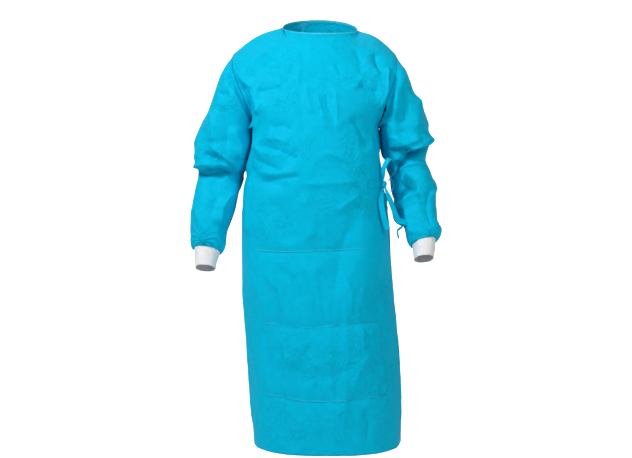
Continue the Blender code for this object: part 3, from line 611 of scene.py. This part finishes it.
def crease_lift(points, normals, crease):
    """How far a crease moves each point outwards, and each point's signed way to its line."""
    view = radians(crease.view)
    across = points[:, 0] * cos(view) + points[:, 1] * sin(view)
    spots = np.stack([across, points[:, 2]], axis=1)
    line = np.array(crease.line)
    lengths = np.linalg.norm(np.diff(line, axis=0), axis=1)
    total = lengths.sum()
    nearest = np.full(len(points), np.inf)
    side = np.ones(len(points))
    run = np.zeros(len(points))
    travelled = 0.0
    for start, end, length in zip(line, line[1:], lengths):
        way = (end - start) / length
        along = np.clip((spots - start) @ way, 0, length)
        away = np.linalg.norm(spots - start - along[:, None] * way, axis=1)
        nearer = away < nearest
        turn = (spots[:, 0] - start[0]) * way[1] - (spots[:, 1] - start[1]) * way[0]
        side = np.where(nearer, np.where(turn < 0, -1.0, 1.0), side)
        nearest = np.where(nearer, away, nearest)
        run = np.where(nearer, travelled + along, run)
        travelled += length
    ends = smoothstep(np.minimum(run, total - run) / (TAPER * total))
    facing = smoothstep((normals[:, 0] * sin(view) - normals[:, 1] * cos(view)) / FACING)
    profile = np.exp(-((nearest / crease.width) ** (CRISPNESS * crease.edge)))
    pressed = np.where(ends * facing > PRESSED_WEIGHT, nearest * side, 1.0)
    return CREASE_GAIN * crease.height * profile * ends * facing, pressed


def ripple_lift(points, ripples):
    """Uneven folds all over, from one field of noise for all the pieces."""
    shift = Vector((RIPPLE_SEED, 2.3 * RIPPLE_SEED, -1.7 * RIPPLE_SEED))
    lift = np.zeros(len(points))
    for number, ripple in enumerate(ripples):
        scale = Vector((1, 1, 1 / ripple.stretch)) / ripple.length
        for index, point in enumerate(points):
            spot = Vector(point * scale) + shift * (number + 1)
            value = noise.noise(spot)
            if ripple.ridged:
                value = (1 - 2 * abs(value)) ** 3 - RIDGE_LEVEL
            if ripple.patchy:
                value *= max(0.0, noise.noise(spot * PATCH_SCALE) * PATCH_GAIN + PATCH_LEVEL)
            lift[index] += ripple.height * value
    return lift


def folds_of(name, points, out):
    """A cloth's own folds, the folds that cross its seams, and the way to a pressed line."""
    own = ripple_lift(points, BODY_RIPPLES if name in BODY else SLEEVE_RIPPLES)
    crossing = np.zeros(len(points))
    nearest_press = np.ones(len(points))
    wanted = ("body",) if name in BODY else ("arms", name.split("_")[0] + " arm")
    for crease in CREASES:
        if crease.on != "all" and crease.on not in wanted:
            continue
        lift, pressed = crease_lift(points, out, crease)
        if crease.on == "all":
            crossing += lift
        else:
            own += lift
        if crease.edge <= PRESSED_EDGE:
            nearer = np.abs(pressed) < np.abs(nearest_press)
            nearest_press = np.where(nearer, pressed, nearest_press)
    return own, crossing, nearest_press


def fold_cloths(shells, seams):
    """Moves the points of the body's and sleeves' shells into their creases."""
    normals = {name: normals_of(piece) for name, piece in shells.items()}
    share_rim_normals(shells, normals)
    tie_tree = tree_of(node_samples(TIE_NODES))
    band = node_samples(["neck_binding"])
    band_tree = tree_of(band)
    seam_tree = tree_of(seams + band)
    body_tree = tree_of(shell_samples(shells, BODY))
    sleeve_tree = tree_of(shell_samples(shells, SLEEVES))
    moved = {}
    for name in BODY + SLEEVES:
        on_body = name in BODY
        points, out = points_of(shells[name]), normals[name]
        at_seams = smoothstep(distances(points, seam_tree) / SEAM_FADE)
        own, crossing, nearest_press = folds_of(name, points, out)
        store_values(shells[name], "press_distance", nearest_press)
        crossing *= AT_SEAM + (1 - AT_SEAM) * at_seams
        lift = own * at_seams + crossing
        if on_body:
            off_ties = distances(points, tie_tree) - TIE_NEAR
            lift *= smoothstep(off_ties / TIE_FADE)
        gap = distances(points, sleeve_tree if on_body else body_tree)
        room = np.where(crossing != 0, np.inf, CLEARANCE_SHARE * gap)
        lift = np.minimum(lift, np.maximum(room, crossing))
        moved[name] = points + out * lift[:, None]
        if on_body:
            at_band = 1 - smoothstep(distances(points, band_tree) / NECK_TUCK_REACH)
            moved[name][:, 2] += NECK_TUCK * at_band
    for name, points in moved.items():
        move_points(shells[name], points)


def tube_ends(points):
    """Middles of a tube's upper and lower ends."""
    heights = points[:, 2]
    top = points[heights > np.quantile(heights, 1 - END_SHARE)].mean(axis=0)
    bottom = points[heights < np.quantile(heights, END_SHARE)].mean(axis=0)
    return top, bottom


def around_tube(points, top, bottom):
    """Angle of each point round the line between two rings' middles."""
    axis = (bottom - top) / np.linalg.norm(bottom - top)
    across = np.cross(axis, (0.0, 1.0, 0.0))
    across /= np.linalg.norm(across)
    other = np.cross(axis, across)
    off = points - top
    return np.arctan2(off @ other, off @ across)


def gather_wrists(shells):
    """Gathers each sleeve where it is sewn to its cuff."""
    for side in ("left", "right"):
        sleeve, cuff = shells[f"{side}_sleeve_cloth"], points_of(shells[f"{side}_cuff_knit"])
        points, out = points_of(sleeve), normals_of(sleeve)
        near = distances(points, tree_of([Vector(point) for point in cuff]))
        angle = around_tube(points, *tube_ends(cuff))
        # The gathers' spacing and height vary round the wrist
        uneven = 0.9 * np.sin(2 * angle + 0.7) + 0.6 * np.sin(5 * angle)
        wave = np.sin(GATHERS * angle + 2 * uneven) * (0.7 + 0.3 * np.sin(3 * angle + 1.1))
        reach = smoothstep(near / (GATHER_REACH / 5)) * np.exp(-near / GATHER_REACH)
        move_points(sleeve, points + out * (GATHER_HEIGHT * wave * reach)[:, None])


def knit_cuffs(shells):
    """Raises the knit's ribs and dents the cuffs a little."""
    for name in CUFFS:
        points, out = points_of(shells[name]), normals_of(shells[name])
        top, bottom = tube_ends(points)
        angle = around_tube(points, top, bottom)
        along = (points - top) @ ((bottom - top) / np.linalg.norm(bottom - top))
        span = (along - along.min()) / (along.max() - along.min())
        dents = np.sin(3 * angle + 6 * span) * np.sin(pi * span) ** 2
        lift = RIB_HEIGHT * (np.cos(RIBS * angle) - 1) + CUFF_DENT * dents
        move_points(shells[name], points + out * lift[:, None])


def add_thickness(piece):
    modifier = piece.modifiers.new("cloth thickness", "SOLIDIFY")
    modifier.thickness = CLOTH_THICK
    modifier.offset = -1.0
    modifier.use_even_offset = False


def finish_piece(piece, node, finish):
    """Gives a piece its material and puts it in its solid's place."""
    piece.data.materials.append(MATERIALS[finish])
    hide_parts(node)
    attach(piece, "root")


def make_shell(cloth, builder, rim):
    """A cloth's smooth shell, with its flat UV map and each point's way to a seam."""
    hold_corners(builder)
    if cloth.piece not in BODY:
        side = 1 if cloth.node.endswith("left") else -1
        mark_long_seam(builder, Vector((LONG_SEAM_LEAN * side, 0, 1)))
    sewing = list(rim)
    if cloth.piece in SLEEVES:
        sewing += edge_samples([edge for edge in builder.edges if edge.seam])
    shell = new_piece(cloth.piece, builder)
    unwrap_flat(shell)
    subdivide(shell, CLOTH_LEVELS)
    store_values(shell, "edge_distance", distances(points_of(shell), tree_of(sewing)))
    return shell


def make_cloths():
    """All the cloths, as creased shells, in place of their solids."""
    builders = {cloth.piece: outer_side(cloth) for cloth in CLOTHS}
    rims = {
        name: edge_samples([edge for edge in builder.edges if edge.is_boundary])
        for name, builder in builders.items()
    }
    shells = {
        cloth.piece: make_shell(cloth, builders[cloth.piece], rims[cloth.piece])
        for cloth in CLOTHS
    }
    fold_cloths({name: shells[name] for name in BODY + SLEEVES}, sewn_rims(rims))
    gather_wrists(shells)
    knit_cuffs(shells)
    for cloth in CLOTHS:
        add_thickness(shells[cloth.piece])
        finish_piece(shells[cloth.piece], cloth.node, "knit" if cloth.piece in CUFFS else "cloth")
    return shells


# Small pieces

def make_trim(trim):
    """A strap or patch with softened edges, on its solid."""
    builder = merged_copy(trim.node)
    bmesh.ops.join_triangles(
        builder, faces=builder.faces, angle_face_threshold=pi / 3, angle_shape_threshold=pi / 2
    )
    sharp = [edge for edge in builder.edges if edge.calc_face_angle(0) > WALL_CORNER]
    bmesh.ops.bevel(
        builder, geom=sharp, offset=STRAP_BEVEL, offset_type="OFFSET", segments=1, profile=0.5,
        affect="EDGES", clamp_overlap=True, material=-1,
    )
    piece = new_piece(trim.piece, builder)
    subdivide(piece, TRIM_LEVELS)
    finish_piece(piece, trim.node, trim.finish)
    return piece


def make_knot():
    """The knot, with the strap's turns round it."""
    piece = new_piece("strap_knot", merged_copy("tie_knot"))
    subdivide(piece, TRIM_LEVELS)
    points, out = points_of(piece), normals_of(piece)
    off = points - points.mean(axis=0)
    turn = np.arctan2(off[:, 2], off[:, 0])
    wraps = np.abs(np.sin(KNOT_TURNS * turn + off[:, :2] @ np.array(KNOT_SLANTS)))
    move_points(piece, points + out * (KNOT_RELIEF * (wraps - KNOT_LEVEL))[:, None])
    finish_piece(piece, "tie_knot", "tie")


# Shader groups

def new_group(name, inputs, outputs):
    """An empty shader group with named inputs, each with its value, and outputs."""
    group = bpy.data.node_groups.new(name, "ShaderNodeTree")
    for label, kind, value in inputs:
        socket = group.interface.new_socket(name=label, in_out="INPUT", socket_type=kind)
        if value is not None:
            socket.default_value = value
    for label, kind in outputs:
        group.interface.new_socket(name=label, in_out="OUTPUT", socket_type=kind)
    start = group.nodes.new("NodeGroupInput")
    end = group.nodes.new("NodeGroupOutput")
    return group, start.outputs, end.inputs


def math_node(tree, operation, first, second=None):
    node = tree.nodes.new("ShaderNodeMath")
    node.operation = operation
    for socket, value in zip(node.inputs, (first, second)):
        if value is None:
            continue
        if isinstance(value, (int, float)):
            socket.default_value = value
        else:
            tree.links.new(value, socket)
    return node.outputs[0]


def ramp_between(tree, value, low, high):
    """0 below low, 1 above high, smooth between them."""
    node = tree.nodes.new("ShaderNodeMapRange")
    node.interpolation_type = "SMOOTHSTEP"
    node.inputs["From Min"].default_value = low
    node.inputs["From Max"].default_value = high
    tree.links.new(value, node.inputs["Value"])
    return node.outputs["Result"]


def ramp_down(tree, value, low, high):
    """1 below low, 0 above high."""
    return math_node(tree, "SUBTRACT", 1.0, ramp_between(tree, value, low, high))


def noise_node(tree, vector, scale, detail=2.0, roughness=0.5):
    node = tree.nodes.new("ShaderNodeTexNoise")
    node.inputs["Scale"].default_value = scale
    node.inputs["Detail"].default_value = detail
    node.inputs["Roughness"].default_value = roughness
    tree.links.new(vector, node.inputs["Vector"])
    return node.outputs["Fac"]


def bonded_web_group():
    """Nonwoven cloth: rows of small bond points, fibres, and a cloudy web."""
    group, start, end = new_group(
        "bonded_web",
        [("Flat", "NodeSocketVector", None), ("Place", "NodeSocketVector", None),
         ("Pitch", "NodeSocketFloat", 0.0024)],
        [("Height", "NodeSocketFloat"), ("Cloud", "NodeSocketFloat")],
    )
    parts = group.nodes.new("ShaderNodeSeparateXYZ")
    group.links.new(start["Flat"], parts.inputs[0])
    rate = math_node(group, "DIVIDE", 2 * pi, start["Pitch"])
    first = math_node(group, "ADD", parts.outputs["X"], parts.outputs["Y"])
    last = math_node(group, "SUBTRACT", parts.outputs["X"], parts.outputs["Y"])
    waves = [
        math_node(group, "COSINE", math_node(group, "MULTIPLY", line, rate))
        for line in (first, last)
    ]
    dots = ramp_between(group, math_node(group, "ADD", waves[0], waves[1]), 0.6, 1.7)
    fibres = noise_node(group, start["Place"], 900.0, 3.0, 0.6)
    cloud = noise_node(group, start["Place"], 55.0, 4.0, 0.6)
    web = math_node(group, "MULTIPLY", fibres, 0.6)
    group.links.new(math_node(group, "SUBTRACT", web, dots), end["Height"])
    group.links.new(cloud, end["Cloud"])
    return group


def crumple_group():
    """Fine crisp wrinkles in patches, and soft dimples."""
    group, start, end = new_group(
        "crumple",
        [("Place", "NodeSocketVector", None), ("Scale", "NodeSocketFloat", 38.0)],
        [("Height", "NodeSocketFloat")],
    )
    coarse = group.nodes.new("ShaderNodeTexNoise")
    coarse.inputs["Detail"].default_value = 3.0
    coarse.inputs["Distortion"].default_value = 0.8
    group.links.new(start["Place"], coarse.inputs["Vector"])
    group.links.new(start["Scale"], coarse.inputs["Scale"])
    off = math_node(group, "ABSOLUTE", math_node(group, "SUBTRACT", coarse.outputs["Fac"], 0.5))
    ridge = ramp_down(group, off, 0.0, 0.10)
    patches = ramp_between(group, noise_node(group, start["Place"], 9.0), 0.42, 0.62)
    dimples = noise_node(group, start["Place"], 24.0, 1.0)
    fine = math_node(group, "MULTIPLY", ridge, patches)
    soft = math_node(group, "MULTIPLY", dimples, 0.5)
    group.links.new(math_node(group, "ADD", fine, soft), end["Height"])
    return group


def sewing_group():
    """A seam along a piece's rim: its raised allowance and a row of stitches."""
    group, start, end = new_group(
        "sewing",
        [("Flat", "NodeSocketVector", None), ("Distance", "NodeSocketFloat", 1.0),
         ("Allowance", "NodeSocketFloat", 0.006)],
        [("Height", "NodeSocketFloat"), ("Stitches", "NodeSocketFloat")],
    )
    share = math_node(group, "DIVIDE", start["Distance"], start["Allowance"])
    raised = ramp_down(group, share, 0.85, 1.15)
    off_row = math_node(group, "ABSOLUTE", math_node(group, "SUBTRACT", share, 0.7))
    row = ramp_down(group, off_row, 0.05, 0.14)
    parts = group.nodes.new("ShaderNodeSeparateXYZ")
    group.links.new(start["Flat"], parts.inputs[0])
    run = math_node(group, "ADD", parts.outputs["X"], parts.outputs["Y"])
    dash = math_node(group, "SINE", math_node(group, "MULTIPLY", run, 2 * pi / STITCH_PITCH))
    stitches = math_node(group, "MULTIPLY", row, ramp_between(group, dash, -0.4, 0.2))
    sunk = math_node(group, "MULTIPLY", stitches, 0.8)
    group.links.new(math_node(group, "SUBTRACT", raised, sunk), end["Height"])
    group.links.new(stitches, end["Stitches"])
    return group


def pressed_line_group():
    """The thin line that a hard fold leaves, uneven along its way."""
    group, start, end = new_group(
        "pressed_line",
        [("Place", "NodeSocketVector", None), ("Distance", "NodeSocketFloat", 1.0),
         ("Width", "NodeSocketFloat", 0.0030)],
        [("Height", "NodeSocketFloat")],
    )
    wander = math_node(group, "SUBTRACT", noise_node(group, start["Place"], 30.0), 0.5)
    moved = math_node(
        group, "ADD", start["Distance"], math_node(group, "MULTIPLY", wander, 0.006)
    )
    share = math_node(group, "DIVIDE", math_node(group, "ABSOLUTE", moved), start["Width"])
    line = ramp_down(group, share, 0.0, 1.0)
    uneven = ramp_between(group, noise_node(group, start["Place"], 17.0), 0.30, 0.60)
    group.links.new(math_node(group, "MULTIPLY", line, uneven), end["Height"])
    return group


# Materials

def new_material(name, colour, roughness):
    material = bpy.data.materials.new(name)
    material.use_nodes = True
    tree = material.node_tree
    shader = tree.nodes["Principled BSDF"]
    shader.inputs["Base Color"].default_value = colour
    shader.inputs["Roughness"].default_value = roughness
    place = tree.nodes.new("ShaderNodeTexCoord")
    return material, tree, shader, place.outputs


def use_group(tree, group, links, values=()):
    node = tree.nodes.new("ShaderNodeGroup")
    node.node_tree = group
    for label, source in links:
        tree.links.new(source, node.inputs[label])
    for label, value in values:
        node.inputs[label].default_value = value
    return node.outputs


def mix_colours(tree, factor, first, last):
    node = tree.nodes.new("ShaderNodeMix")
    node.data_type = "RGBA"
    tree.links.new(factor, node.inputs["Factor"])
    for socket, colour in ((node.inputs["A"], first), (node.inputs["B"], last)):
        if isinstance(colour, tuple):
            socket.default_value = colour
        else:
            tree.links.new(colour, socket)
    return node.outputs["Result"]


def bump(tree, height, distance, before=None):
    node = tree.nodes.new("ShaderNodeBump")
    node.inputs["Distance"].default_value = distance
    tree.links.new(height, node.inputs["Height"])
    if before is not None:
        tree.links.new(before, node.inputs["Normal"])
    return node.outputs["Normal"]


def cloth_sheen(shader, weight, tint, specular):
    """Soft fibres' sheen. Each value is the same all over the cloth."""
    shader.inputs["Sheen Weight"].default_value = weight
    shader.inputs["Sheen Roughness"].default_value = 0.5
    shader.inputs["Sheen Tint"].default_value = tint
    shader.inputs["Specular IOR Level"].default_value = specular


def cloth_material(groups):
    material, tree, shader, place = new_material("gown_nonwoven", BLUE, 0.55)
    web = use_group(tree, groups["web"], [("Flat", place["UV"]), ("Place", place["Object"])])
    crumple = use_group(tree, groups["crumple"], [("Place", place["Object"])])
    distance = tree.nodes.new("ShaderNodeAttribute")
    distance.attribute_name = "edge_distance"
    sewing = use_group(
        tree, groups["sewing"], [("Flat", place["UV"]), ("Distance", distance.outputs["Fac"])]
    )
    press = tree.nodes.new("ShaderNodeAttribute")
    press.attribute_name = "press_distance"
    pressed = use_group(
        tree, groups["press"], [("Place", place["Object"]), ("Distance", press.outputs["Fac"])]
    )
    cloudy = mix_colours(tree, ramp_between(tree, web["Cloud"], 0.30, 0.72), BLUE_DEEP, BLUE)
    # Painted highlight: pressed lines are mixed towards a paler blue, standing in for light on
    # their raised tops
    painted_highlight = math_node(tree, "MULTIPLY", pressed["Height"], PRESSED_HIGHLIGHT_SHARE)
    with_highlight = mix_colours(tree, painted_highlight, cloudy, BLUE_PRESSED_HIGHLIGHT)
    threads = math_node(tree, "MULTIPLY", sewing["Stitches"], THREAD_SHARE)
    sewn = mix_colours(tree, threads, with_highlight, BLUE_DEEP)
    tree.links.new(sewn, shader.inputs["Base Color"])
    normal = bump(tree, crumple["Height"], CRUMPLE_RELIEF)
    normal = bump(tree, sewing["Height"], SEWN_RELIEF, normal)
    normal = bump(tree, pressed["Height"], PRESSED_RELIEF, normal)
    normal = bump(tree, web["Height"], WEB_RELIEF, normal)
    tree.links.new(normal, shader.inputs["Normal"])
    cloth_sheen(shader, 0.02, SHEEN_BLUE, 0.03)
    return material


def tie_material(groups):
    material, tree, shader, place = new_material("tie_nonwoven", BLUE, 0.5)
    crumple = use_group(
        tree, groups["crumple"], [("Place", place["Object"])], [("Scale", 160.0)]
    )
    grain = noise_node(tree, place["Object"], 700.0, 3.0, 0.6)
    cloud = noise_node(tree, place["Object"], 90.0)
    tint = mix_colours(tree, ramp_between(tree, cloud, 0.3, 0.7), BLUE_DEEP, BLUE)
    tree.links.new(tint, shader.inputs["Base Color"])
    normal = bump(tree, crumple["Height"], 0.0006)
    tree.links.new(bump(tree, grain, 0.0001, normal), shader.inputs["Normal"])
    cloth_sheen(shader, 0.02, SHEEN_BLUE, 0.03)
    return material


def binding_material():
    """Neck tape: a paler band, with a fine grain and soft cloudy bumps."""
    material, tree, shader, place = new_material("neck_tape", BLUE_BINDING, 0.6)
    grain = noise_node(tree, place["Object"], 800.0, 3.0, 0.6)
    cloud = noise_node(tree, place["Object"], 160.0)
    tint = mix_colours(tree, ramp_between(tree, cloud, 0.3, 0.7), BLUE, BLUE_BINDING)
    tree.links.new(tint, shader.inputs["Base Color"])
    normal = bump(tree, cloud, 0.0006)
    tree.links.new(bump(tree, grain, 0.0002, normal), shader.inputs["Normal"])
    cloth_sheen(shader, 0.15, SHEEN_PALE, 0.25)
    return material


def closure_material():
    """Hook-and-loop tape: a dense field of tiny hooks."""
    material, tree, shader, place = new_material("hook_and_loop", CLOSURE_PALE, 0.7)
    hooks = tree.nodes.new("ShaderNodeTexVoronoi")
    hooks.inputs["Scale"].default_value = 900.0
    tree.links.new(place["Object"], hooks.inputs["Vector"])
    spots = ramp_between(tree, hooks.outputs["Distance"], 0.2, 0.5)
    tint = mix_colours(tree, spots, CLOSURE_PALE, BLUE_DEEP)
    tree.links.new(tint, shader.inputs["Base Color"])
    tree.links.new(bump(tree, hooks.outputs["Distance"], 0.0004), shader.inputs["Normal"])
    return material


def knit_material():
    """White rib knit. Its ribs are modelled, and its loops are fine grain."""
    material, tree, shader, place = new_material("cuff_knit", KNIT_WHITE, 0.85)
    loops = noise_node(tree, place["Object"], 1100.0, 3.0, 0.6)
    soft = noise_node(tree, place["Object"], 60.0)
    tint = mix_colours(tree, ramp_between(tree, loops, 0.35, 0.6), KNIT_SHADE, KNIT_WHITE)
    tint = mix_colours(tree, ramp_between(tree, soft, 0.2, 0.5), tint, KNIT_WHITE)
    tree.links.new(tint, shader.inputs["Base Color"])
    tree.links.new(bump(tree, loops, 0.0004), shader.inputs["Normal"])
    cloth_sheen(shader, 0.3, WHITE, 0.2)
    return material


def stage_material():
    material, tree, shader, _ = new_material("stage_paper", STAGE_WHITE, 0.9)
    shader.inputs["Emission Color"].default_value = WHITE
    seen = tree.nodes.new("ShaderNodeLightPath").outputs["Is Camera Ray"]
    glow = math_node(tree, "MULTIPLY_ADD", seen, STAGE_SEEN - STAGE_GLOW)
    glow.node.inputs[2].default_value = STAGE_GLOW
    tree.links.new(glow, shader.inputs["Emission Strength"])
    return material


def make_materials():
    groups = {
        "web": bonded_web_group(), "crumple": crumple_group(), "sewing": sewing_group(),
        "press": pressed_line_group(),
    }
    return {
        "cloth": cloth_material(groups),
        "tie": tie_material(groups),
        "binding": binding_material(),
        "closure": closure_material(),
        "knit": knit_material(),
    }


# Stage, light and camera

def furthest_edge(builder):
    """The rim edge of the stage that lies furthest back."""
    back = max(vertex.co.y for vertex in builder.verts) - STAGE_NEAR
    return [
        edge for edge in builder.edges
        if edge.is_boundary and all(vertex.co.y > back for vertex in edge.verts)
    ]


def make_stage():
    """A floor that bends up into a backdrop."""
    builder = bmesh.new()
    bmesh.ops.create_grid(builder, x_segments=1, y_segments=1, size=STAGE_HALF)
    bmesh.ops.translate(
        builder, vec=(0, STAGE_BACK - STAGE_HALF, FLOOR_Z), verts=builder.verts
    )
    bmesh.ops.spin(
        builder, geom=furthest_edge(builder), cent=(0, STAGE_BACK, FLOOR_Z + STAGE_BEND),
        axis=(1, 0, 0), angle=pi / 2, steps=STAGE_STEPS,
    )
    raised = bmesh.ops.extrude_edge_only(builder, edges=furthest_edge(builder))["geom"]
    lifted = [part for part in raised if isinstance(part, bmesh.types.BMVert)]
    bmesh.ops.translate(builder, vec=(0, 0, STAGE_HALF), verts=lifted)
    stage = new_piece("floor_and_backdrop", builder)
    stage.data.materials.append(stage_material())


def make_light(name, place, target, size, power):
    data = bpy.data.lights.new(name, "AREA")
    data.shape = "DISK"
    data.size = size
    data.energy = power
    light = bpy.data.objects.new(name, data)
    light.location = place
    light.rotation_euler = (Vector(target) - Vector(place)).to_track_quat("-Z", "Y").to_euler()
    bpy.context.scene.collection.objects.link(light)


def make_lights():
    for name, place, target, size, power in LIGHTS:
        make_light(name, place, target, size, power)
    world = bpy.data.worlds.new("soft_studio")
    bpy.context.scene.world = world
    world.use_nodes = True
    world.node_tree.nodes["Background"].inputs["Color"].default_value = WHITE
    world.node_tree.nodes["Background"].inputs["Strength"].default_value = WORLD_LIGHT


def make_camera():
    data = bpy.data.cameras.new("camera")
    data.sensor_width = SENSOR
    data.lens = SENSOR * CAMERA_DISTANCE / (PICTURE_WIDTH * PIXEL)
    data.shift_y = -HORIZON_ABOVE_MIDDLE / PICTURE_WIDTH
    camera = bpy.data.objects.new("camera", data)
    camera.location = (CAMERA_ASIDE, -CAMERA_DISTANCE, CAMERA_HEIGHT)
    camera.rotation_euler = (pi / 2, 0, 0)
    bpy.context.scene.collection.objects.link(camera)
    bpy.context.scene.camera = camera
    bpy.context.scene.view_settings.view_transform = "Standard"


# The scene


MATERIALS = make_materials()
SHELLS = make_cloths()
SMALL_PIECES = {trim.piece: make_trim(trim) for trim in TRIMS}
make_knot()
make_stage()
make_lights()
make_camera()
